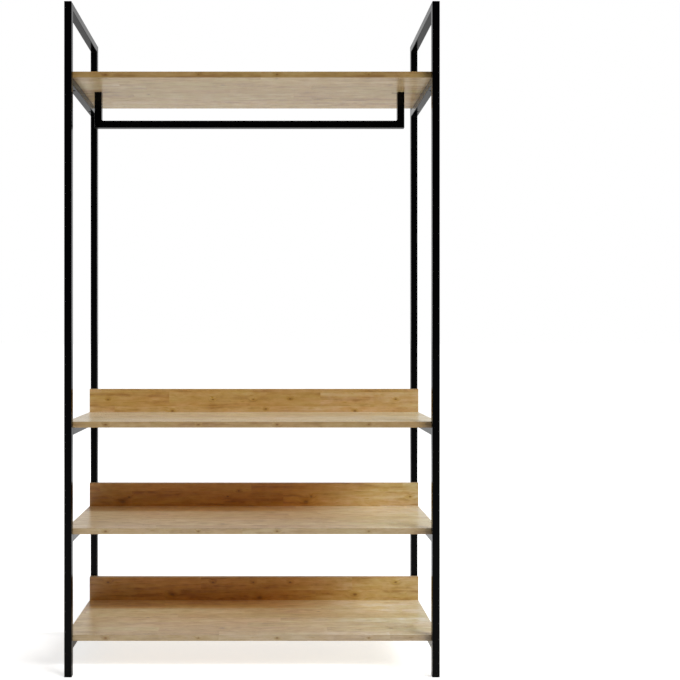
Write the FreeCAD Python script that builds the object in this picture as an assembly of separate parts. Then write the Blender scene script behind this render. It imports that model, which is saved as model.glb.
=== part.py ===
import FreeCAD, Part
import os
from FreeCAD import Vector

# An open clothes rack. Two welded side frames of square steel tube carry four boards.
# The three lower boards end in a low upright backboard that stands in front of the
# rear posts, and a square hanging rail is bolted up under the top board.
# X runs to the right, Y to the back and Z up. The origin is on the floor, under the
# middle of the rack.

# Overall size of the rack
rack_width = 1000.0
rack_depth = 400.0
rack_height = 1800.0

# Square steel tube of the side frames and the hanging rail
tube_side = 20.0
tube_wall = 1.2
tube_corner_radius = 1.5

# Laminated boards and the bands glued on their edges
board_thickness = 16.0
backboard_height = 86.0
edge_band_thickness = 1.0
edge_band_rounding = 0.4

# Places of the boards: floor to the underside of the bottom shelf, one lower shelf to
# the next, and the top of the frame down to the top face of the top shelf
bottom_shelf_height = 91.0
shelf_pitch = 286.0
top_shelf_drop = 182.0

# Hanging rail: underside of the top shelf to the underside of the bar, front edge of the
# shelf to the front of the bar, and side frame to leg at the left and at the right
hanging_rail_drop = 101.0
hanging_rail_setback = 150.0
hanging_rail_left_gap = 30.0
hanging_rail_right_gap = 50.0

# Plastic foot pressed into the lower end of each post
foot_flange_thickness = 2.0
foot_flange_chamfer = 0.6
foot_core_inset = 1.4
foot_plug_depth = 15.0
foot_rib_thickness = 1.2
foot_rib_count = 3

# Wood screws that hold the boards to the tubes, seated on the inside of the tube wall
screw_diameter = 4.0
screw_bite = 12.0
screw_tip_length = 3.0
screw_head_diameter = 8.0
screw_head_height = 2.4
screw_head_rounding = 1.1
screw_recess_length = 4.4
screw_recess_width = 1.0
screw_recess_depth = 1.3
screw_hole_clearance = 0.15
screw_access_clearance = 1.0
shelf_screw_inset = 60.0
backboard_screw_inset = 20.0

# Joining screws from the backboards into the rear edges of the shelves
joining_screw_diameter = 5.0
joining_screw_length = 50.0
joining_screw_head_diameter = 7.0
joining_screw_head_height = 3.0
joining_screw_socket = 4.0
joining_screw_socket_depth = 2.4
joining_screw_inset = 125.0
joining_screw_count = 4

# Bolts through the top shelf into the threaded plugs of the hanging rail
bolt_diameter = 6.0
bolt_length = 30.0
bolt_head_diameter = 14.0
bolt_head_height = 2.4
bolt_head_rounding = 1.0
bolt_socket = 4.0
bolt_socket_depth = 1.8
bolt_hole_clearance = 0.25
leg_plug_depth = 20.0

# Extra reach of a cutting tool past the surface that it cuts
overrun = 1.0

# Directions
right = Vector(1, 0, 0)
back = Vector(0, 1, 0)
up = Vector(0, 0, 1)
left = right * -1
front = back * -1
down = up * -1

# Planes and places worked out from the sizes above
frame_x = rack_width / 2 - tube_side / 2
front_post_y = tube_side / 2 - rack_depth / 2
rear_post_y = rack_depth / 2 - tube_side / 2
shelf_front_y = front_post_y + tube_side / 2
backboard_rear_y = rear_post_y - tube_side / 2
shelf_rear_y = backboard_rear_y - board_thickness
side_rail_length = backboard_rear_y - shelf_front_y
tube_bore = tube_side - 2 * tube_wall
top_shelf_height = rack_height - top_shelf_drop - board_thickness
shelf_heights = {
    "top": top_shelf_height,
    "middle": bottom_shelf_height + 2 * shelf_pitch,
    "lower": bottom_shelf_height + shelf_pitch,
    "bottom": bottom_shelf_height,
}
backboard_levels = ("middle", "lower", "bottom")
sides = {"left": -frame_x, "right": frame_x}

hanging_rail_y = shelf_front_y + hanging_rail_setback + tube_side / 2
hanging_rail_left_x = tube_side / 2 - frame_x + hanging_rail_left_gap
hanging_rail_right_x = frame_x - tube_side / 2 - hanging_rail_right_gap
hanging_rail_base = top_shelf_height - hanging_rail_drop
leg_places = {
    "left": hanging_rail_left_x + tube_side / 2,
    "right": hanging_rail_right_x - tube_side / 2,
}

nodes = {}


def box_between(low, high):
    """A box from its lowest to its highest corner."""
    size = high - low
    return Part.makeBox(size.x, size.y, size.z, low)


def placed(shape, place, direction):
    """Turn a shape built along +Z to a direction and move its base to a place."""
    turned = shape.copy()
    turned.Placement = FreeCAD.Placement(place, FreeCAD.Rotation(up, direction))
    return turned


def rod(place, direction, diameter, length):
    """A round bar or a round cutter."""
    return Part.makeCylinder(diameter / 2, length, place, direction)


def edges_along(box, direction):
    """The edges of a box that run along a direction."""
    return [edge for edge in box.Edges if abs(edge.tangentAt(edge.FirstParameter).dot(direction)) > 0.5]


# Square tube, built along +X with its mitred face towards +Z
def mitre_cutter(end_x, inward):
    """The wedge that mitres one end of a tube, whose long face is the +Z one."""
    reach = tube_side / 2 + overrun
    outer_corner = Vector(end_x - inward * overrun, -reach, reach)
    inner_corner = Vector(end_x + inward * (tube_side + overrun), -reach, -reach)
    waste_corner = Vector(end_x - inward * overrun, -reach, -reach)
    outline = Part.makePolygon([outer_corner, inner_corner, waste_corner, outer_corner])
    return Part.Face(outline).extrude(back * (2 * reach))


def straight_tube(length, mitre_start, mitre_end):
    """A square tube from the origin along +X, with either end mitred."""
    half = tube_side / 2
    skin = box_between(Vector(0, -half, -half), Vector(length, half, half))
    skin = skin.makeFillet(tube_corner_radius, edges_along(skin, right))
    half_bore = tube_bore / 2
    bore = box_between(
        Vector(-overrun, -half_bore, -half_bore),
        Vector(length + overrun, half_bore, half_bore),
    )
    tube = skin.cut(bore)
    if mitre_start:
        tube = tube.cut(mitre_cutter(0, 1))
    if mitre_end:
        tube = tube.cut(mitre_cutter(length, -1))
    return tube


def tube(start, along, length, outer=up, mitre_start=False, mitre_end=False):
    """A tube from a start point; the outer side is the long side of its mitres."""
    shape = straight_tube(length, mitre_start, mitre_end)
    turn = FreeCAD.Rotation(along, outer.cross(along), outer, "XZY")
    shape.Placement = FreeCAD.Placement(start, turn)
    return shape


# Boards
def peel_band(low, high, side):
    """Split one edge band off a box; return the band and the corners of what is left."""
    band_low = Vector(low)
    band_high = Vector(high)
    core_low = Vector(low)
    core_high = Vector(high)
    for axis in range(3):
        if side[axis] > 0:
            core_high[axis] = high[axis] - edge_band_thickness
            band_low[axis] = core_high[axis]
        if side[axis] < 0:
            core_low[axis] = low[axis] + edge_band_thickness
            band_high[axis] = core_low[axis]
    band = box_between(band_low, band_high)
    return band, core_low, core_high


def rounded_band(band, side):
    """Round the two long edges on the outer face of an edge band."""
    outer_face = max(band.Faces, key=lambda face: face.CenterOfMass.dot(side))
    long_edges = sorted(outer_face.Edges, key=lambda edge: edge.Length)[-2:]
    return band.makeFillet(min(edge_band_rounding, edge_band_thickness / 2), long_edges)


def banded_board(low, high, banded_sides):
    """A board core and the bands glued on the sides given, in the order they are glued."""
    bands = []
    for side in banded_sides:
        band, low, high = peel_band(low, high, side)
        bands.append(rounded_band(band, side))
    return box_between(low, high), bands


def cut_all(shape, cutters):
    """A shape with every cutter taken away."""
    return shape.cut(Part.makeCompound(cutters)) if cutters else shape


# Fasteners, built along +Z with the underside of the head at the origin
def hexagon_bar(across_flats, base_z, height):
    """A six-sided bar, which cuts a key socket."""
    low = Vector(-across_flats / 2, -across_flats, base_z)
    high = Vector(across_flats / 2, across_flats, base_z + height)
    bar = box_between(low, high)
    for turn in (60, 120):
        flats = box_between(low, high)
        flats.rotate(Vector(0, 0, 0), up, turn)
        bar = bar.common(flats)
    return bar


def rounded_head(diameter, height, rounding):
    """A round head below the origin, with its outer rim rounded."""
    head = rod(down * height, up, diameter, height)
    rim = [edge for edge in head.Edges if edge.Closed and edge.CenterOfMass.z < -height / 2]
    return head.makeFillet(rounding, rim)


def wood_screw():
    """A pan head screw with a pointed shank and a cross recess."""
    head = rounded_head(screw_head_diameter, screw_head_height, screw_head_rounding)
    shank_length = tube_wall + screw_bite - screw_tip_length
    shank = rod(Vector(0, 0, 0), up, screw_diameter, shank_length)
    tip = Part.makeCone(screw_diameter / 2, 0, screw_tip_length, up * shank_length, up)
    screw = head.fuse([shank, tip])
    half_length = screw_recess_length / 2
    half_width = screw_recess_width / 2
    recess_top = screw_recess_depth - screw_head_height
    recess_base = -screw_head_height - overrun
    for reach_x, reach_y in ((half_length, half_width), (half_width, half_length)):
        slot = box_between(Vector(-reach_x, -reach_y, recess_base), Vector(reach_x, reach_y, recess_top))
        screw = screw.cut(slot)
    return screw.removeSplitter()


def joining_screw():
    """A straight board screw with a small sunk head and a key socket."""
    head = rod(down * joining_screw_head_height, up, joining_screw_head_diameter, joining_screw_head_height)
    shank_length = joining_screw_length - joining_screw_head_height
    shank = rod(Vector(0, 0, 0), up, joining_screw_diameter, shank_length)
    socket_base = -joining_screw_head_height - overrun
    socket = hexagon_bar(joining_screw_socket, socket_base, joining_screw_socket_depth + overrun)
    return head.fuse(shank).cut(socket).removeSplitter()


def rail_bolt():
    """A flat headed machine bolt with a key socket."""
    head = rounded_head(bolt_head_diameter, bolt_head_height, bolt_head_rounding)
    shank = rod(Vector(0, 0, 0), up, bolt_diameter, bolt_length)
    socket = hexagon_bar(bolt_socket, -bolt_head_height - overrun, bolt_socket_depth + overrun)
    return head.fuse(shank).cut(socket).removeSplitter()


def screw_holes(seat, direction):
    """The hole in the tube wall and board, and the access hole in the wall behind it."""
    hole_diameter = screw_diameter + 2 * screw_hole_clearance
    hole_length = overrun + tube_wall + screw_bite + screw_hole_clearance
    hole = rod(seat - direction * overrun, direction, hole_diameter, hole_length)
    access_diameter = screw_head_diameter + 2 * screw_access_clearance
    access_start = seat - direction * (tube_bore + tube_wall + overrun)
    access = rod(access_start, direction, access_diameter, tube_wall + 2 * overrun)
    return [hole, access]


# Where the fasteners sit
def shelf_screw_seats(level, side_names=("left", "right")):
    """Seats of the screws that hold one shelf, on the upper wall of its side rails."""
    seat_z = shelf_heights[level] - tube_wall
    rows = (shelf_front_y + shelf_screw_inset, backboard_rear_y - shelf_screw_inset)
    return [Vector(sides[name], row, seat_z) for name in side_names for row in rows]


def backboard_screw_seats(level, side_names=("left", "right")):
    """Seats of the screws that hold one backboard, on the front wall of the rear posts."""
    base = shelf_heights[level]
    rows = (base + backboard_screw_inset, base + backboard_height - backboard_screw_inset)
    return [Vector(sides[name], backboard_rear_y + tube_wall, row) for name in side_names for row in rows]


def joining_screw_seats(level):
    """Seats of the joining screws of one shelf, sunk in the rear face of its backboard."""
    first = joining_screw_inset - rack_width / 2
    step = (rack_width - 2 * joining_screw_inset) / (joining_screw_count - 1)
    seat_y = backboard_rear_y - joining_screw_head_height
    seat_z = shelf_heights[level] + board_thickness / 2
    return [Vector(first + step * index, seat_y, seat_z) for index in range(joining_screw_count)]


def joining_screw_holes(level):
    """The holes and head sinkings of the joining screws of one shelf."""
    cutters = []
    hole_diameter = joining_screw_diameter + 2 * screw_hole_clearance
    hole_length = joining_screw_length - joining_screw_head_height + screw_hole_clearance
    sink_diameter = joining_screw_head_diameter + 2 * screw_hole_clearance
    for seat in joining_screw_seats(level):
        cutters.append(rod(seat, front, hole_diameter, hole_length))
        cutters.append(rod(seat, back, sink_diameter, joining_screw_head_height + overrun))
    return cutters


def bolt_seats():
    """Seats of the hanging rail's bolts, whose heads are sunk in the top face of the top shelf."""
    seat_z = top_shelf_height + board_thickness - bolt_head_height
    return [Vector(x, hanging_rail_y, seat_z) for x in leg_places.values()]


def bolt_holes():
    """The holes and head sinkings of the hanging rail's bolts through shelf and leg plugs."""
    cutters = []
    hole_diameter = bolt_diameter + 2 * bolt_hole_clearance
    sink_diameter = bolt_head_diameter + 2 * bolt_hole_clearance
    for seat in bolt_seats():
        cutters.append(rod(seat, down, hole_diameter, bolt_length + bolt_hole_clearance))
        cutters.append(rod(seat, up, sink_diameter, bolt_head_height + overrun))
    return cutters


# Side frames
def add_posts():
    """The four posts, mitred at the top and standing on their feet."""
    for side, x in sides.items():
        length = rack_height - foot_flange_thickness
        start = Vector(x, front_post_y, foot_flange_thickness)
        nodes["front_" + side + "_post"] = [tube(start, up, length, outer=front, mitre_end=True)]

        start = Vector(x, rear_post_y, foot_flange_thickness)
        post = tube(start, up, length, outer=back, mitre_end=True)
        cutters = []
        for level in backboard_levels:
            for seat in backboard_screw_seats(level, (side,)):
                cutters += screw_holes(seat, front)
        nodes["rear_" + side + "_post"] = [cut_all(post, cutters)]


def add_top_rails():
    """The rails that close the side frames at the top, mitred into the posts."""
    for side, x in sides.items():
        start = Vector(x, -rack_depth / 2, rack_height - tube_side / 2)
        rail = tube(start, back, rack_depth, outer=up, mitre_start=True, mitre_end=True)
        nodes[side + "_top_rail"] = [rail]


def add_shelf_rails():
    """The rails between the posts that carry the shelves."""
    for level, height in shelf_heights.items():
        for side, x in sides.items():
            start = Vector(x, shelf_front_y, height - tube_side / 2)
            rail = tube(start, back, side_rail_length)
            cutters = []
            for seat in shelf_screw_seats(level, (side,)):
                cutters += screw_holes(seat, up)
            nodes[side + "_" + level + "_shelf_rail"] = [cut_all(rail, cutters)]


def upright_block(side, base_z, top_z):
    """A square block centred on the Z axis."""
    half = side / 2
    return box_between(Vector(-half, -half, base_z), Vector(half, half, top_z))


def foot():
    """A plastic foot: a flange under the tube and a ribbed plug inside it."""
    flange = upright_block(tube_side, 0, foot_flange_thickness)
    flange = flange.makeFillet(tube_corner_radius, edges_along(flange, up))
    sole = min(flange.Faces, key=lambda face: face.CenterOfMass.z)
    flange = flange.makeChamfer(foot_flange_chamfer, sole.Edges)
    plug_top = foot_flange_thickness + foot_plug_depth
    core_side = tube_bore - 2 * foot_core_inset
    pieces = [upright_block(core_side, foot_flange_thickness, plug_top)]
    pitch = foot_plug_depth / foot_rib_count
    for index in range(foot_rib_count):
        rib_top = plug_top - index * pitch
        pieces.append(upright_block(tube_bore, rib_top - foot_rib_thickness, rib_top))
    return flange.fuse(pieces).removeSplitter()


def add_feet():
    """One foot in the lower end of each post."""
    for side, x in sides.items():
        for row, y in (("front", front_post_y), ("rear", rear_post_y)):
            piece = foot()
            piece.translate(Vector(x, y, 0))
            nodes[row + "_" + side + "_foot"] = [piece]


# Shelves and backboards
def add_shelf(level):
    """One shelf board on its side rails, with its edge bands."""
    height = shelf_heights[level]
    low = Vector(-rack_width / 2, shelf_front_y, height)
    high = Vector(rack_width / 2, shelf_rear_y, height + board_thickness)
    banded_sides = [front, back, left, right] if level == "top" else [front, left, right]
    core, bands = banded_board(low, high, banded_sides)
    cutters = []
    for seat in shelf_screw_seats(level):
        cutters += screw_holes(seat, up)
    if level == "top":
        cutters += bolt_holes()
    else:
        cutters += joining_screw_holes(level)
    nodes[level + "_shelf"] = [cut_all(core, cutters)]
    nodes[level + "_shelf_edging"] = bands


def add_backboard(level):
    """The upright board behind one lower shelf, with its edge bands."""
    base = shelf_heights[level]
    low = Vector(-rack_width / 2, shelf_rear_y, base)
    high = Vector(rack_width / 2, backboard_rear_y, base + backboard_height)
    core, bands = banded_board(low, high, [up, down, left, right])
    cutters = joining_screw_holes(level)
    for seat in backboard_screw_seats(level):
        cutters += screw_holes(seat, front)
    nodes[level + "_backboard"] = [cut_all(core, cutters)]
    nodes[level + "_backboard_edging"] = bands


# Hanging rail
def add_hanging_rail():
    """The square bar and its two legs, mitred at the corners, with a threaded plug in each leg."""
    width = hanging_rail_right_x - hanging_rail_left_x
    bar_start = Vector(hanging_rail_left_x, hanging_rail_y, hanging_rail_base + tube_side / 2)
    bar = tube(bar_start, right, width, outer=down, mitre_start=True, mitre_end=True)
    nodes["hanging_bar"] = [bar]
    outward = {"left": left, "right": right}
    half_bore = tube_bore / 2
    for side, x in leg_places.items():
        leg_start = Vector(x, hanging_rail_y, hanging_rail_base)
        leg = tube(leg_start, up, hanging_rail_drop, outer=outward[side], mitre_start=True)
        nodes["hanging_rail_" + side + "_leg"] = [leg]
        plug_low = Vector(x - half_bore, hanging_rail_y - half_bore, top_shelf_height - leg_plug_depth)
        plug_high = Vector(x + half_bore, hanging_rail_y + half_bore, top_shelf_height)
        plug = cut_all(box_between(plug_low, plug_high), bolt_holes())
        nodes["hanging_rail_" + side + "_plug"] = [plug]


# Fasteners in place
def add_fasteners():
    """The screws of every board and the bolts of the hanging rail."""
    for level in shelf_heights:
        seats = shelf_screw_seats(level)
        nodes[level + "_shelf_screws"] = [placed(wood_screw(), seat, up) for seat in seats]
    for level in backboard_levels:
        seats = backboard_screw_seats(level)
        nodes[level + "_backboard_screws"] = [placed(wood_screw(), seat, front) for seat in seats]
        seats = joining_screw_seats(level)
        nodes[level + "_joining_screws"] = [placed(joining_screw(), seat, front) for seat in seats]
    nodes["hanging_rail_bolts"] = [placed(rail_bolt(), seat, down) for seat in bolt_seats()]


def write_nodes():
    """One STEP file for each named piece."""
    os.makedirs("parts", exist_ok=True)
    for name, solids in nodes.items():
        shape = solids[0] if len(solids) == 1 else Part.makeCompound(solids)
        shape.exportStep("parts/" + name + ".step")


add_posts()
add_top_rails()
add_shelf_rails()
add_feet()
for level_name in shelf_heights:
    add_shelf(level_name)
for level_name in backboard_levels:
    add_backboard(level_name)
add_hanging_rail()
add_fasteners()
write_nodes()
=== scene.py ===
import math

import bmesh
import bpy
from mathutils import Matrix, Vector


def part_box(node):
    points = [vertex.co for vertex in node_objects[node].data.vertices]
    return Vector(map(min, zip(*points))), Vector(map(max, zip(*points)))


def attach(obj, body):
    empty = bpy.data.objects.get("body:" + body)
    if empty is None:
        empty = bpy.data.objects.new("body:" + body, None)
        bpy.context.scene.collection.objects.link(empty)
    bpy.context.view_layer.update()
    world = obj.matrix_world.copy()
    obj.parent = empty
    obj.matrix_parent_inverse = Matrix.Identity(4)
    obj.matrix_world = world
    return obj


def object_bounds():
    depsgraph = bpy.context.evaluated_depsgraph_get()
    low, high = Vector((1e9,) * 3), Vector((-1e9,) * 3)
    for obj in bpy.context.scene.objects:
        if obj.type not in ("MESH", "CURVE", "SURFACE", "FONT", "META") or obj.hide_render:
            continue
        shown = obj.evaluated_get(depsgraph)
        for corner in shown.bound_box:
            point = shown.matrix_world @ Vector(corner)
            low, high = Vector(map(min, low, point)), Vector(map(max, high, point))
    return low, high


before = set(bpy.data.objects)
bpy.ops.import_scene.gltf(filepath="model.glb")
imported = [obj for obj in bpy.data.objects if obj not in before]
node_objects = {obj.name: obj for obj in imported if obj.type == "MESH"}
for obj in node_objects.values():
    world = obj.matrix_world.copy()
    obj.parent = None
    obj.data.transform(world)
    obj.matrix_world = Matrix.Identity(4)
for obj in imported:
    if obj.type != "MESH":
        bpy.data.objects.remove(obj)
cad_low, cad_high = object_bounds()

# Camera, in metres in the rack's own frame
camera_place = Vector((0.043, -2.740, 0.898))
camera_lens = 50.54
camera_sensor_width = 36.0
camera_shift_share = 0.1057
camera_reach = 200.0

# Boards, in the order of their seeds, and the places of their front faces
shelf_levels = ("top", "middle", "lower", "bottom")
backboard_levels = ("middle", "lower", "bottom")
shelf_front_y = -0.180
backboard_front_y = 0.164

# Staves printed on the boards, in metres
stave_width = 0.043
stave_length = 0.46

# Random shifts, at most: of a row of staves, in staves, and of the grain in each stave, in metres
row_shift_staves = 7.0
stave_shift_along = 3.0
stave_shift_across = 2.0

# Layers of the print: waves for each metre along the grain and across it, and the noise's detail
layer_noises = {
    "broad": (3.4, 34.0, 3.0),
    "flecks": (36.0, 84.0, 2.0),
    "streaks": (7.0, 130.0, 2.0),
    "fine": (16.0, 900.0, 2.0),
    "drift": (1.9, 11.0, 1.0),
    "pores": (48.0, 2000.0, 1.0),
    "dashes": (34.0, 260.0, 2.0),
    "hue": (5.5, 26.0, 2.0),
    "patches": (21.0, 62.0, 3.0),
}

# Growth rings: rings for each metre across the grain, and how far drift, knots and streaks bend them
rings_across = 44.0
ring_drift = 5.0
ring_knot_bend = 0.7
ring_streak_bend = 0.8
half_ring = 0.5
ring_step = (0.0, 0.45)

# The grain is a mix of layers. Its middle stays where it is when the contrast changes
grain_shares = {"broad": 0.48, "flecks": 0.24, "streaks": 0.14, "fine": 0.07, "rings": 0.07}
grain_middle_share = 0.5

# Steps at which a layer turns from one state to the other
dark_wood_step = (0.37, 0.50)
light_wood_step = (0.49, 0.63)
pore_step = (0.60, 0.72)
dash_step = (0.63, 0.74)
hue_step = (0.35, 0.65)
patch_step = (0.36, 0.64)

# Albedos of the oak print: grain lines, middle and light wood, the pale colour that is mixed into the
# bands, partly their own paler colour and partly a painted reflection of the bright floor, and the
# cores of knots
oak_dark = (0.560, 0.303, 0.097, 1.0)
oak_middle = (0.770, 0.505, 0.206, 1.0)
oak_light = (0.860, 0.626, 0.310, 1.0)
pale_band_and_painted_reflection = (0.640, 0.580, 0.470, 1.0)
knot_core = (0.250, 0.090, 0.010, 1.0)

# Hue, which wanders between a pink and a yellow tint with the hue layer and from stave to stave
oak_pink_tint = (1.030, 0.960, 0.975, 1.0)
oak_yellow_tint = (0.980, 1.015, 0.920, 1.0)
hue_layer_share = 0.6
hue_stave_share = 0.4

# Tone, which darkens the wood. Red, green and blue each follow it by a power of their own, so that
# dark marks look brown and not grey
stave_tone_shares = (0.90, 1.08)
pore_tone_share = 0.80
dash_tone_share = 0.78
swirl_tone_share = 0.95
smear_tone_share = 0.87
board_tone_powers = (0.92, 1.42, 4.00)
band_tone_powers = (1.00, 1.38, 2.60)

# Edge bands carry painted shade, darker than the faces and most of all on the top two, and the lower
# ones are paler, partly in colour and partly by a painted reflection of the bright floor that grows
# downwards
band_shade_powers = (1.00, 1.20, 1.85)
band_painted_shade_shares = {"top": 0.76, "middle": 0.75, "lower": 0.84, "bottom": 0.85}
band_pale_and_painted_reflection_shares = {"top": 0.10, "middle": 0.20, "lower": 0.39, "bottom": 0.51}

# Painted light and shade: tints of each board as factors of red, green and blue. They stand for the
# warm light that the oak faces throw on each other and for how the lamps light or shade each board, not
# for the print's own colour. Where a tint for the right is given, it takes over between the two places
# of the fade
white = (1.0, 1.0, 1.0, 1.0)
shelf_painted_light_tints = {
    "top": (0.97, 1.03, 1.04, 1.0),
    "middle": (1.05, 1.17, 1.28, 1.0),
    "lower": (0.95, 0.99, 0.86, 1.0),
    "bottom": (0.92, 0.97, 0.84, 1.0),
}
# Painted light: paler towards the right, where the lamps' light comes in past the shelf above
right_shelf_painted_light_tints = {
    "middle": (1.09, 1.32, 1.58, 1.0),
    "lower": (0.98, 1.21, 1.52, 1.0),
    "bottom": (0.96, 1.18, 1.52, 1.0),
}
shelf_painted_light_fade = (0.06, 0.40)
# Backboards: the middle one's tint is the lit one, and all but the fronts of the lower two get it too.
# The lower fronts carry painted shade, warmer and darker at the left under the shelf above, and painted
# light, paler at the right where the lamps reach in
middle_backboard_painted_light_tint = (0.95, 0.94, 0.90, 1.0)
lower_backboard_painted_shade_tint = (0.94, 0.71, 0.36, 1.0)
right_backboard_painted_light_tint = (0.95, 1.07, 1.26, 1.0)
backboard_painted_light_fade = (0.09, 0.42)

# Painted shade: a warm strip along the rear of the two lowest shelves' top faces, where the shelf above
# shades them and the oak throws warm light in, which ends towards the right
painted_shade_strip_levels = ("lower", "bottom")
painted_shade_strip_tint = (1.16, 0.92, 0.38, 1.0)
painted_shade_strip_width = 0.088
painted_shade_strip_blend = 0.002
painted_shade_strip_fade = (0.02, 0.30)

# Patches of the print, how dense its figure is across the grain, its contrast, and the boards' sheen
shelf_patch_share = 0.07
shelf_figure_share = 0.5
shelf_contrast_shares = {"top": 1.00, "middle": 0.74, "lower": 0.72, "bottom": 0.74}
backboard_contrast_shares = {"middle": 0.86, "lower": 1.0, "bottom": 1.0}
lower_backboard_sheen_share = 0.06

# What a board or band looks like where nothing else is said
plain_look = {
    "tone_and_painted_shade_share": 1.0,
    "pale_and_painted_reflection_share": 0.0,
    "patch_share": 0.05,
    "figure_share": 1.0,
    "contrast_share": 1.0,
    "sheen_share": 0.40,
    "painted_tint": white,
    "right_painted_tint": None,
    "painted_tint_fade": shelf_painted_light_fade,
    "painted_shade_start": None,
}

# Satin surface of the boards
oak_roughness = 0.24
oak_roughness_spread = 0.08
oak_fine_relief_share = 0.4
oak_bump = {"Strength": 0.25, "Distance": 0.0003}
oak_surface = {"Specular IOR Level": 0.8, "Sheen Roughness": 0.5}

# Knots, which are longer along the grain: how far their marks reach, in radii of the knot, and how
# far they push the grain, in metres
knot_reaches = {"core": (0.2, 1.2), "smear": (0.8, 2.8), "swirl": (0.6, 4.5)}
knot_swirl_shift = 0.006
knot_stretch_share = 0.62
knot_core_share = 0.85

# Knots of the print: place along the board, height above the floor or place across, and radius.
# Those on a shelf's front edge lie at its mid height
backboard_knots = {
    "middle": (
        (-0.444, 0.717, 0.0026),
        (-0.248, 0.682, 0.0036),
        (-0.125, 0.717, 0.0026),
        (-0.002, 0.717, 0.0024),
        (0.036, 0.688, 0.0030),
        (0.110, 0.719, 0.0030),
        (0.307, 0.682, 0.0036),
        (0.431, 0.718, 0.0028),
    ),
    "lower": (
        (-0.399, 0.406, 0.0062),
        (-0.380, 0.420, 0.0028),
        (-0.080, 0.422, 0.0030),
        (-0.046, 0.439, 0.0032),
        (0.158, 0.406, 0.0060),
        (0.174, 0.421, 0.0026),
        (0.475, 0.421, 0.0028),
    ),
    "bottom": (
        (-0.444, 0.161, 0.0030),
        (-0.248, 0.124, 0.0050),
        (-0.125, 0.161, 0.0030),
        (-0.002, 0.161, 0.0028),
        (0.017, 0.114, 0.0065),
        (0.110, 0.161, 0.0032),
        (0.307, 0.124, 0.0050),
        (0.431, 0.161, 0.0032),
    ),
}
shelf_edge_knots = ((-0.393, 0.0032), (-0.144, 0.0020), (0.067, 0.0028), (0.313, 0.0020))
shelf_face_knots = (
    (-0.082, -0.119, 0.0050),
    (0.380, -0.120, 0.0050),
    (-0.300, -0.020, 0.0034),
    (0.190, 0.040, 0.0034),
)

# Black powder coat of the steel. Here and below, a noise is given as its waves for each metre and
# its detail
coat_dark = (0.0010, 0.0010, 0.0012, 1.0)
coat_light = (0.0020, 0.0020, 0.0023, 1.0)
coat_fleck = (0.006, 0.006, 0.007, 1.0)
coat_cloud_noise = (9.0, 3.0)
coat_peel_noise = (650.0, 2.0)
coat_grit_noise = (2600.0, 1.0)
coat_fleck_step = (0.66, 0.74)
coat_grit_share = 0.25
coat_roughness = 0.15
coat_roughness_spread = 0.08
coat_bump = {"Strength": 0.12, "Distance": 0.0002}
coat_surface = {
    "Specular IOR Level": 0.03,
    "Coat Weight": 0.72,
    "Coat IOR": 1.16,
    "Coat Roughness": 0.12,
}

# Black moulded plastic of the feet
plastic_dark = (0.008, 0.008, 0.008, 1.0)
plastic_light = (0.022, 0.022, 0.021, 1.0)
plastic_grit_noise = (1500.0, 3.0)
plastic_roughness = 0.45
plastic_roughness_spread = 0.20
plastic_bump = {"Strength": 0.35, "Distance": 0.0003}
plastic_surface = {"Specular IOR Level": 0.30}

# Zinc plate of the fasteners
zinc_dark = (0.46, 0.45, 0.42, 1.0)
zinc_light = (0.62, 0.60, 0.54, 1.0)
zinc_cloud_noise = (220.0, 3.0)
zinc_scratch_stretch = (10.0, 10.0, 1.0)
zinc_scratch_noise = (90.0, 2.0)
zinc_roughness = 0.22
zinc_roughness_spread = 0.22
zinc_bump = {"Strength": 0.15, "Distance": 0.0001}
zinc_surface = {"Metallic": 1.0}

# Weld beads of the steel frames, in metres, and their form as shares of the leg
tube_side = 0.020
weld_leg = 0.0028
weld_length = 0.0165
weld_ripple = 0.00025
weld_ripple_pitch = 0.0017
weld_sink = 0.0004
weld_sections = 66
weld_arc_steps = 6
weld_end_share = 0.8
weld_least_share = 0.05
weld_bulge_share = 0.10
weld_convex_share = 0.28
rail_levels = ("bottom_shelf", "lower_shelf", "middle_shelf", "top_shelf", "top")

# Floor, in metres: its paint is darker far from the rack, and its glow makes it look white
floor_size = 600.0
floor_middle = (0.0, 0.8, 0.0)
floor_near = (0.92, 0.92, 0.92, 1.0)
floor_far = (0.40, 0.40, 0.40, 1.0)
floor_paint_fade = (2.2, 6.0)
floor_glow_fade = (0.8, 4.0)
floor_glow_shares = (0.68, 0.85)
floor_behind_fade = (-1.5, 0.5)
mirrored_floor_share = 0.40

# World: shares of white that light the rack, and shares that its gloss mirrors. A fade runs between
# two values of the direction's part along X, Y or Z
ambient_front_share = 0.02
ambient_behind_share = 0.40
ambient_left_share = 0.25
gloss_front_share = 0.06
gloss_ceiling_share = 0.55
world_behind_fade = (-0.2, 0.5)
world_left_fade = (-0.95, -0.35)
world_ceiling_fade = (0.08, 0.45)

# Strips of lamps: the slope of the strip's plane, its first and last turn to the right and the
# breadth of a lamp in degrees, and the share of white that a white surface facing it shows
strip_slopes = {"front_strip": -0.948, "low_strip": -1.27, "side_strip": 0.05}
strip_turns = {"front_strip": (26.0, 56.0), "low_strip": (22.0, 48.0), "side_strip": (34.0, 58.0)}
strip_shares = {"front_strip": 0.51, "low_strip": 0.08, "side_strip": 0.325}
strip_lamps = 8
lamp_breadth = 5.0

# A face looks along an axis when its normal's part along that axis is over this share
facing_share = 0.5

right = Vector((1, 0, 0))
rearward = Vector((0, 1, 0))
up = Vector((0, 0, 1))


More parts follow.
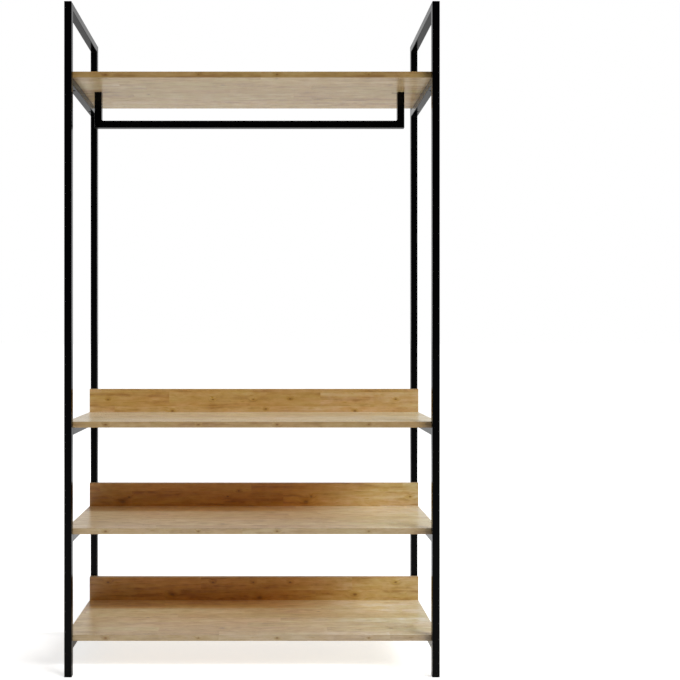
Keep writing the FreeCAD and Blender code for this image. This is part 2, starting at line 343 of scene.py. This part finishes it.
class Tree:
    """A short way to add the nodes of one material and link them."""

    def __init__(self, owner):
        owner.use_nodes = True
        self.nodes = owner.node_tree.nodes
        self.links = owner.node_tree.links
        self.nodes.clear()

    def feed(self, socket, value):
        """Link an output to a socket, or set the socket's own value."""
        if isinstance(value, bpy.types.NodeSocket):
            self.links.new(value, socket)
        else:
            socket.default_value = value

    def add(self, kind, inputs=(), **settings):
        """Add one node with its settings and inputs."""
        node = self.nodes.new("ShaderNode" + kind)
        for name, value in settings.items():
            setattr(node, name, value)
        for socket, value in dict(inputs).items():
            self.feed(node.inputs[socket], value)
        return node

    def math(self, operation, *values):
        """One calculation with up to three values."""
        return self.add("Math", enumerate(values), operation=operation).outputs[0]

    def scaled(self, place, factors):
        """A place with each coordinate multiplied."""
        return self.add("VectorMath", {0: place, 1: factors}, operation="MULTIPLY").outputs[0]

    def distance(self, place, other):
        """How far apart two places are."""
        return self.add("VectorMath", {0: place, 1: other}, operation="DISTANCE").outputs["Value"]

    def parts(self, vector):
        """The X, Y and Z parts of a vector."""
        return self.add("SeparateXYZ", {0: vector}).outputs

    def smooth_step(self, value, low, high, to_low=0.0, to_high=1.0):
        """A value carried smoothly from one range to another."""
        inputs = {0: value, 1: low, 2: high, 3: to_low, 4: to_high}
        return self.add("MapRange", inputs, interpolation_type="SMOOTHSTEP").outputs[0]

    def noise(self, place, scale, detail):
        """Cloudy noise between 0 and 1."""
        return self.add("TexNoise", {"Vector": place, "Scale": scale, "Detail": detail}).outputs[0]

    def pick(self, share, first, second):
        """A number between two others. Sockets 2 and 3 take the numbers."""
        return self.add("Mix", {0: share, 2: first, 3: second}, data_type="FLOAT").outputs[0]

    def tint(self, share, first, second, blend_type="MIX"):
        """A colour between two others, or their product. Sockets 6 and 7 take the colours."""
        inputs = {0: share, 6: first, 7: second}
        return self.add("Mix", inputs, data_type="RGBA", blend_type=blend_type).outputs[2]

    def multiplied(self, first, second):
        """The product of two colours."""
        return self.tint(1.0, first, second, "MULTIPLY")

    def mirrored_rays(self, rays):
        """1 where a mirror image or a view through glass is worked out, and otherwise 0."""
        return self.math("MAXIMUM", rays["Is Glossy Ray"], rays["Is Transmission Ray"])


def finish_surface(tree, colour, roughness, height, bump_numbers, surface_numbers):
    """The shader of one material, with its bump and output."""
    bump = tree.add("Bump", {"Height": height, **bump_numbers})
    inputs = {"Base Color": colour, "Roughness": roughness, **surface_numbers}
    shader = tree.add("BsdfPrincipled", inputs)
    tree.feed(shader.inputs["Normal"], bump.outputs[0])
    output = tree.add("OutputMaterial")
    tree.feed(output.inputs["Surface"], shader.outputs[0])


def grain_place(tree, end_grain_axis):
    """Places along and across the grain, carried round the board's long edges, and the facing.

    On the ends of a board the print runs along end_grain_axis.
    """
    source = tree.add("TexCoord").outputs
    place = tree.parts(source["Object"])
    facing = tree.parts(source["Normal"])
    on_end = tree.math("GREATER_THAN", tree.math("ABSOLUTE", facing["X"]), facing_share)
    other = {"Y": "Z", "Z": "Y"}[end_grain_axis]
    along = tree.pick(on_end, place["X"], place[end_grain_axis])
    across = tree.pick(on_end, tree.math("ADD", place["Y"], place["Z"]), place[other])
    return along, across, facing


def stave_numbers(tree, along, across, seed):
    """Three random numbers for the stave that holds a place."""
    row = tree.math("FLOOR", tree.math("DIVIDE", across, stave_width))
    row_key = tree.math("ADD", row, seed)
    row_random = tree.add("TexWhiteNoise", {"W": row_key}, noise_dimensions="1D").outputs[0]
    row_shift = tree.math("MULTIPLY", row_random, row_shift_staves)
    staves = tree.math("ADD", tree.math("DIVIDE", along, stave_length), row_shift)
    stave_key = tree.add("CombineXYZ", {0: row, 1: tree.math("FLOOR", staves), 2: seed}).outputs[0]
    colour = tree.add("TexWhiteNoise", {"Vector": stave_key}, noise_dimensions="3D").outputs["Color"]
    return tree.add("SeparateColor", {0: colour}).outputs


def nearest_knot(tree, along, across, knots):
    """Distance to the nearest knot, in radii of that knot."""
    stretched = tree.math("MULTIPLY", along, knot_stretch_share)
    place = tree.add("CombineXYZ", {0: stretched, 1: across}).outputs[0]
    nearest = None
    for knot_along, knot_across, radius in knots:
        centre = (knot_along * knot_stretch_share, knot_across, 0.0)
        gap = tree.math("DIVIDE", tree.distance(place, centre), radius)
        nearest = gap if nearest is None else tree.math("MINIMUM", nearest, gap)
    return nearest


def knot_marks(tree, along, across, knots):
    """How much of a knot's core, smear and swirl there is at a place."""
    gap = nearest_knot(tree, along, across, knots)
    return {mark: tree.smooth_step(gap, *reach, 1.0, 0.0) for mark, reach in knot_reaches.items()}


def growth_rings(tree, across, layers, swirl):
    """Rings of the figure, which drift and bend round the knots."""
    count = tree.math("MULTIPLY", across, rings_across)
    count = tree.math("MULTIPLY_ADD", layers["drift"], ring_drift, count)
    count = tree.math("MULTIPLY_ADD", swirl, ring_knot_bend, count)
    count = tree.math("MULTIPLY_ADD", layers["streaks"], ring_streak_bend, count)
    return tree.smooth_step(tree.math("PINGPONG", count, half_ring), *ring_step)


def print_layers(tree, along, across, seed, stave, swirl, figure_share):
    """Every layer of the print at a place, with each stave's grain moved to a place of its own."""
    own_along = tree.math("MULTIPLY_ADD", stave[0], stave_shift_along, along)
    own_across = tree.math("MULTIPLY_ADD", stave[1], stave_shift_across, across)
    own_across = tree.math("MULTIPLY_ADD", swirl, knot_swirl_shift, own_across)
    own_across = tree.math("MULTIPLY", own_across, figure_share)
    place = tree.add("CombineXYZ", {0: own_along, 1: own_across, 2: seed}).outputs[0]
    layers = {}
    for layer, (waves_along, waves_across, detail) in layer_noises.items():
        layers[layer] = tree.noise(tree.scaled(place, (waves_along, waves_across, 1.0)), 1.0, detail)
    layers["rings"] = growth_rings(tree, own_across, layers, swirl)
    layers["pores"] = tree.smooth_step(layers["pores"], *pore_step)
    layers["dashes"] = tree.smooth_step(layers["dashes"], *dash_step)
    return layers


def wood_colour(tree, layers, stave, contrast_share):
    """Colour of the grain lines and of the wood between them, with the hue of the stave."""
    grain = 0.0
    for layer, share in grain_shares.items():
        grain = tree.math("MULTIPLY_ADD", layers[layer], share, grain)
    rest = grain_middle_share * (1 - contrast_share)
    grain = tree.math("MULTIPLY_ADD", grain, contrast_share, rest)
    wood = tree.tint(tree.smooth_step(grain, *dark_wood_step), oak_dark, oak_middle)
    wood = tree.tint(tree.smooth_step(grain, *light_wood_step), wood, oak_light)
    hue = tree.math("MULTIPLY", stave[2], hue_stave_share)
    hue = tree.math("MULTIPLY_ADD", tree.smooth_step(layers["hue"], *hue_step), hue_layer_share, hue)
    return tree.multiplied(wood, tree.tint(hue, oak_pink_tint, oak_yellow_tint))


def painted_light_wood(tree, wood, along, facing, end_grain_axis, look):
    """The wood with its board's painted light and shade tint. All but the front of a backboard has the
    middle one's tint.
    """
    painted_tint = look["painted_tint"]
    if look["right_painted_tint"] is not None:
        toward_right = tree.smooth_step(along, *look["painted_tint_fade"])
        painted_tint = tree.tint(toward_right, painted_tint, look["right_painted_tint"])
    if end_grain_axis == "Z":
        on_front = tree.math("LESS_THAN", facing["Y"], -facing_share)
        painted_tint = tree.tint(on_front, middle_backboard_painted_light_tint, painted_tint)
    return tree.multiplied(wood, painted_tint)


def painted_shade_strip_wood(tree, wood, along, across, facing, painted_shade_start):
    """The wood with painted shade: a warm strip on the rear of the top face, from the given start,
    where the shelf above shades it.
    """
    shade_strip_share = tree.smooth_step(across, painted_shade_start - painted_shade_strip_blend, painted_shade_start + painted_shade_strip_blend)
    shade_strip_share = tree.math("MULTIPLY", shade_strip_share, tree.smooth_step(along, *painted_shade_strip_fade, 1.0, 0.0))
    on_top = tree.math("GREATER_THAN", facing["Z"], facing_share)
    shade_strip_share = tree.math("MULTIPLY", shade_strip_share, on_top)
    return tree.tint(shade_strip_share, wood, painted_shade_strip_tint, "MULTIPLY")


def toned_wood(tree, wood, layers, marks, stave, look):
    """The wood darkened by its stave, patches, pores, dashes and knots, and on a band as a whole by
    painted shade.
    """
    patch_shares = (1.0 - look["patch_share"], 1.0 + look["patch_share"])
    tone = tree.smooth_step(layers["patches"], *patch_step, *patch_shares)
    tone = tree.math("MULTIPLY", tone, tree.pick(stave[1], *stave_tone_shares))
    darkened = (
        (layers["pores"], pore_tone_share),
        (layers["dashes"], dash_tone_share),
        (marks["swirl"], swirl_tone_share),
        (marks["smear"], smear_tone_share),
    )
    for mark, tone_and_painted_shade_share in darkened:
        tone = tree.math("MULTIPLY", tone, tree.pick(mark, 1.0, tone_and_painted_shade_share))
    is_band = look["tone_and_painted_shade_share"] < 1
    powers = band_tone_powers if is_band else board_tone_powers
    tones = {index: tree.math("POWER", tone, power) for index, power in enumerate(powers)}
    wood = tree.multiplied(wood, tree.add("CombineColor", tones).outputs[0])
    # Painted shade over the whole band
    if is_band:
        shade = tuple(look["tone_and_painted_shade_share"] ** power for power in band_shade_powers) + (1.0,)
        wood = tree.multiplied(wood, shade)
    return wood


def oak_material(name, seed, knots, end_grain_axis, **changes):
    """Satin print of oak staves with grain, pores and knots, with painted light and shade. The changes
    are made to the plain look.
    """
    look = {**plain_look, **changes}
    material = bpy.data.materials.new(name)
    tree = Tree(material)
    along, across, facing = grain_place(tree, end_grain_axis)
    stave = stave_numbers(tree, along, across, seed)
    marks = knot_marks(tree, along, across, knots)
    layers = print_layers(tree, along, across, seed, stave, marks["swirl"], look["figure_share"])
    wood = wood_colour(tree, layers, stave, look["contrast_share"])
    # Painted light and shade: the tint of the board
    wood = painted_light_wood(tree, wood, along, facing, end_grain_axis, look)
    # Painted shade strip at the rear of the top face
    if look["painted_shade_start"] is not None:
        wood = painted_shade_strip_wood(tree, wood, along, across, facing, look["painted_shade_start"])
    # The bands' paler colour, with a painted reflection of the bright floor that is stronger on the
    # lower bands
    wood = tree.tint(look["pale_and_painted_reflection_share"], wood, pale_band_and_painted_reflection)
    wood = toned_wood(tree, wood, layers, marks, stave, look)
    wood = tree.tint(tree.math("MULTIPLY", marks["core"], knot_core_share), wood, knot_core)
    roughness = tree.math("MULTIPLY_ADD", layers["fine"], oak_roughness_spread, oak_roughness)
    relief = tree.math("MULTIPLY", layers["fine"], oak_fine_relief_share)
    relief = tree.math("SUBTRACT", relief, layers["pores"])
    surface = {**oak_surface, "Sheen Weight": look["sheen_share"]}
    finish_surface(tree, wood, roughness, relief, oak_bump, surface)
    return material


def steel_material():
    """Black powder coat with a fine orange peel."""
    material = bpy.data.materials.new("black_powder_coat")
    tree = Tree(material)
    place = tree.add("TexCoord").outputs["Object"]
    clouds = tree.noise(place, *coat_cloud_noise)
    peel = tree.noise(place, *coat_peel_noise)
    grit = tree.noise(place, *coat_grit_noise)
    coat = tree.tint(clouds, coat_dark, coat_light)
    coat = tree.tint(tree.smooth_step(grit, *coat_fleck_step), coat, coat_fleck)
    roughness = tree.math("MULTIPLY_ADD", clouds, coat_roughness_spread, coat_roughness)
    relief = tree.math("MULTIPLY_ADD", grit, coat_grit_share, peel)
    finish_surface(tree, coat, roughness, relief, coat_bump, coat_surface)
    return material


def foot_material():
    """Black moulded plastic with a fine texture."""
    material = bpy.data.materials.new("moulded_plastic")
    tree = Tree(material)
    place = tree.add("TexCoord").outputs["Object"]
    grit = tree.noise(place, *plastic_grit_noise)
    plastic = tree.tint(grit, plastic_dark, plastic_light)
    roughness = tree.math("MULTIPLY_ADD", grit, plastic_roughness_spread, plastic_roughness)
    finish_surface(tree, plastic, roughness, grit, plastic_bump, plastic_surface)
    return material


def zinc_material():
    """Zinc plated steel of the screws, bolts and threaded plugs."""
    material = bpy.data.materials.new("zinc_plate")
    tree = Tree(material)
    place = tree.add("TexCoord").outputs["Object"]
    clouds = tree.noise(place, *zinc_cloud_noise)
    scratches = tree.noise(tree.scaled(place, zinc_scratch_stretch), *zinc_scratch_noise)
    zinc = tree.tint(clouds, zinc_dark, zinc_light)
    roughness = tree.math("MULTIPLY_ADD", scratches, zinc_roughness_spread, zinc_roughness)
    finish_surface(tree, zinc, roughness, scratches, zinc_bump, zinc_surface)
    return material


def dress(name, material):
    """Give a node of the frame its material."""
    for slot in node_objects[name].material_slots:
        slot.link = "OBJECT"
        slot.material = material


def dress_board(board, seed, knots, end_grain_axis, look, band_look):
    """The oak print of one board and of its edge bands."""
    face = oak_material("oak_" + board, seed, knots, end_grain_axis, **look)
    band = oak_material("oak_" + board + "_band", seed, knots, end_grain_axis, **band_look)
    dress(board, face)
    dress(board + "_edging", band)


def dress_shelf(level, seed):
    """The oak print of one shelf. It runs on from the front edge over the top face."""
    low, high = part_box(level + "_shelf")
    edge_across = shelf_front_y + (low.z + high.z) / 2
    knots = [(x, edge_across, radius) for x, radius in shelf_edge_knots]
    knots += [(x, y + high.z, radius) for x, y, radius in shelf_face_knots]
    look = {
        "patch_share": shelf_patch_share,
        "figure_share": shelf_figure_share,
        "contrast_share": shelf_contrast_shares[level],
        "painted_tint": shelf_painted_light_tints[level],
        "right_painted_tint": right_shelf_painted_light_tints.get(level),
    }
    # Painted shade along the rear of the top face, under the shelf above
    if level in painted_shade_strip_levels:
        look["painted_shade_start"] = backboard_front_y - painted_shade_strip_width + high.z
    band_look = {"tone_and_painted_shade_share": band_painted_shade_shares[level], "pale_and_painted_reflection_share": band_pale_and_painted_reflection_shares[level]}
    dress_board(level + "_shelf", seed, knots, "Y", look, band_look)


def dress_backboard(level, seed):
    """The oak print of one backboard. The two lower ones carry painted shade, warmer and darker at the
    left, and are less silky.
    """
    knots = [(x, z + backboard_front_y, radius) for x, z, radius in backboard_knots[level]]
    look = {"contrast_share": backboard_contrast_shares[level], "painted_tint": middle_backboard_painted_light_tint}
    if level != "middle":
        look["painted_tint"] = lower_backboard_painted_shade_tint
        look["right_painted_tint"] = right_backboard_painted_light_tint
        look["painted_tint_fade"] = backboard_painted_light_fade
        look["sheen_share"] = lower_backboard_sheen_share
    band_look = {"tone_and_painted_shade_share": band_painted_shade_shares["lower"]}
    dress_board(level + "_backboard", seed, knots, "Z", look, band_look)


def dress_boards():
    """The oak print of every board and its edge bands, each board with a seed of its own."""
    seed = 1.0
    for level in shelf_levels:
        dress_shelf(level, seed)
        seed += 1.0
    for level in backboard_levels:
        dress_backboard(level, seed)
        seed += 1.0


def dress_steel():
    """Materials of the frames, feet and fasteners. Returns the powder coat."""
    coat = steel_material()
    plastic = foot_material()
    zinc = zinc_material()
    for name in node_objects:
        if name.endswith("_foot"):
            dress(name, plastic)
        elif name.endswith(("_screws", "_bolts", "_plug")):
            dress(name, zinc)
        elif name.endswith(("_post", "_rail", "_leg", "_bar")):
            dress(name, coat)
    return coat


def bead_leg(share):
    """Leg of a weld bead at a share of its length, rippled and rounded at the ends."""
    from_end = min(share, 1 - share) * weld_length
    rounding = math.sqrt(min(1.0, from_end / (weld_leg * weld_end_share)))
    ripple = weld_ripple * abs(math.sin(math.pi * share * weld_length / weld_ripple_pitch))
    return max(weld_leg * rounding + ripple * rounding, weld_leg * weld_least_share)


def bead_section(mesh, centre, side_a, side_b, leg):
    """One section of a weld bead: a bulging arc between its two legs, sunk into the tubes."""
    inner = centre - (side_a + side_b) * weld_sink
    section = [mesh.verts.new(inner + side_b * leg)]
    for step in range(1, weld_arc_steps):
        angle = math.pi / 2 * step / weld_arc_steps
        bulge = 1.0 + weld_bulge_share * math.sin(2 * angle)
        convex = weld_convex_share * leg * math.sin(2 * angle)
        reach_a = leg * (1 - math.cos(angle)) * bulge + convex
        reach_b = leg * (1 - math.sin(angle)) * bulge + convex
        section.append(mesh.verts.new(centre + side_a * reach_a + side_b * reach_b))
    section.append(mesh.verts.new(inner + side_a * leg))
    section.append(mesh.verts.new(inner))
    return section


def add_bead(mesh, corner, along, side_a, side_b):
    """A fillet weld in the corner between two tube faces, along a direction."""
    sections = []
    for index in range(weld_sections + 1):
        share = index / weld_sections
        centre = corner + along * ((share - 0.5) * weld_length)
        sections.append(bead_section(mesh, centre, side_a, side_b, bead_leg(share)))
    for first, second in zip(sections, sections[1:]):
        for index in range(len(first)):
            after = (index + 1) % len(first)
            mesh.faces.new((first[index], first[after], second[after], second[index]))
    mesh.faces.new(sections[0][::-1])
    mesh.faces.new(sections[-1])


def weld_piece(name, beads, coat):
    """One piece that holds the weld beads of one welded part."""
    mesh = bmesh.new()
    for corner, along, side_a, side_b in beads:
        add_bead(mesh, corner, along, side_a, side_b)
    bmesh.ops.recalc_face_normals(mesh, faces=mesh.faces)
    data = bpy.data.meshes.new(name)
    mesh.to_mesh(data)
    mesh.free()
    for polygon in data.polygons:
        polygon.use_smooth = True
    piece = bpy.data.objects.new(name, data)
    bpy.context.scene.collection.objects.link(piece)
    piece.data.materials.append(coat)
    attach(piece, "root")


def frame_beads(side):
    """Beads under the rails of one side frame, where they meet the front and the rear post."""
    beads = []
    for level in rail_levels:
        low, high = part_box(side + "_" + level + "_rail")
        middle_x = (low.x + high.x) / 2
        for y, inward in ((cad_low.y + tube_side, rearward), (cad_high.y - tube_side, -rearward)):
            beads.append((Vector((middle_x, y, low.z)), right, inward, -up))
    return beads


def hanging_rail_beads():
    """Beads in the two corners between the hanging bar and its legs."""
    low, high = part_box("hanging_bar")
    middle_y = (low.y + high.y) / 2
    beads = []
    for x, inward in ((low.x + tube_side, right), (high.x - tube_side, -right)):
        beads.append((Vector((x, middle_y, high.z)), rearward, inward, up))
    return beads


def add_welds(coat):
    """Fillet welds of both side frames and of the hanging rail."""
    for side in ("left", "right"):
        weld_piece(side + "_frame_welds", frame_beads(side), coat)
    weld_piece("hanging_rail_welds", hanging_rail_beads(), coat)


def floor_material():
    """Pale paint with a glow that only the camera and mirrored light see."""
    material = bpy.data.materials.new("pale_floor")
    tree = Tree(material)
    place = tree.add("TexCoord").outputs["Object"]
    spot = tree.distance(place, floor_middle)
    paint = tree.tint(tree.smooth_step(spot, *floor_paint_fade), floor_near, floor_far)
    diffuse = tree.add("BsdfDiffuse", {"Color": paint})
    glow_share = tree.smooth_step(spot, *floor_glow_fade, *floor_glow_shares)
    rays = tree.add("LightPath").outputs
    behind = tree.smooth_step(tree.parts(place)["Y"], *floor_behind_fade)
    mirrored_share = tree.math("MULTIPLY", behind, mirrored_floor_share)
    mirrored = tree.math("MULTIPLY", tree.mirrored_rays(rays), mirrored_share)
    seen = tree.math("MAXIMUM", rays["Is Camera Ray"], mirrored)
    glow = tree.add("Emission", {"Strength": tree.math("MULTIPLY", seen, glow_share)})
    both = tree.add("AddShader", {0: diffuse.outputs[0], 1: glow.outputs[0]})
    output = tree.add("OutputMaterial")
    tree.feed(output.inputs["Surface"], both.outputs[0])
    return material


def add_floor():
    """A wide pale floor that keeps the rack's shadow."""
    bpy.ops.mesh.primitive_plane_add(size=floor_size, location=(0, 0, 0))
    floor = bpy.context.object
    floor.name = "floor"
    floor.data.materials.append(floor_material())


def add_world():
    """A soft light, dimmer from the front, and a white background."""
    world = bpy.data.worlds.new("studio")
    bpy.context.scene.world = world
    tree = Tree(world)
    toward = tree.parts(tree.add("TexCoord").outputs["Generated"])
    behind = tree.smooth_step(toward["Y"], *world_behind_fade)
    left = tree.smooth_step(toward["X"], *world_left_fade, ambient_left_share, 0.0)
    ceiling = tree.smooth_step(toward["Z"], *world_ceiling_fade, 1.0, gloss_ceiling_share)
    rays = tree.add("LightPath").outputs
    ambient = tree.pick(behind, ambient_front_share, ambient_behind_share)
    ambient = tree.math("MAXIMUM", left, ambient)
    gloss = tree.pick(behind, gloss_front_share, ceiling)
    strength = tree.pick(tree.mirrored_rays(rays), ambient, gloss)
    strength = tree.pick(rays["Is Camera Ray"], strength, 1.0)
    light = tree.add("Background", {"Color": white, "Strength": strength})
    output = tree.add("OutputWorld")
    tree.feed(output.inputs["Surface"], light.outputs[0])


def add_sun(name, direction, share):
    """A distant lamp that lights what faces it to a share of white, and leaves no glare."""
    lamp = bpy.data.lights.new(name, "SUN")
    lamp.energy = share * math.pi
    lamp.angle = math.radians(lamp_breadth)
    holder = bpy.data.objects.new(name, lamp)
    holder.rotation_euler = direction.to_track_quat("Z", "Y").to_euler()
    holder.visible_glossy = False
    bpy.context.scene.collection.objects.link(holder)


def add_strip(name):
    """A long soft strip of distant lamps, which runs from overhead down to the right."""
    upright = Vector((0, strip_slopes[name], 1)).normalized()
    first, last = strip_turns[name]
    for index in range(strip_lamps):
        turn = math.radians(first + (last - first) * index / (strip_lamps - 1))
        direction = upright * math.cos(turn) + right * math.sin(turn)
        add_sun("%s_%d" % (name, index), direction, strip_shares[name] / strip_lamps)


def add_lamps():
    """Three strips, two from the front right and one from the right."""
    for name in strip_slopes:
        add_strip(name)


def add_camera():
    """The photograph's viewing angle."""
    data = bpy.data.cameras.new("camera")
    data.lens = camera_lens
    data.sensor_width = camera_sensor_width
    data.shift_x = camera_shift_share
    data.clip_end = camera_reach
    camera = bpy.data.objects.new("camera", data)
    camera.location = camera_place
    camera.rotation_euler = (math.radians(90), 0, 0)
    bpy.context.scene.collection.objects.link(camera)
    bpy.context.scene.camera = camera


dress_boards()
powder_coat = dress_steel()
add_welds(powder_coat)
add_floor()
add_world()
add_lamps()
add_camera()
bpy.context.scene.view_settings.view_transform = "Standard"

bpy.context.view_layer.update()
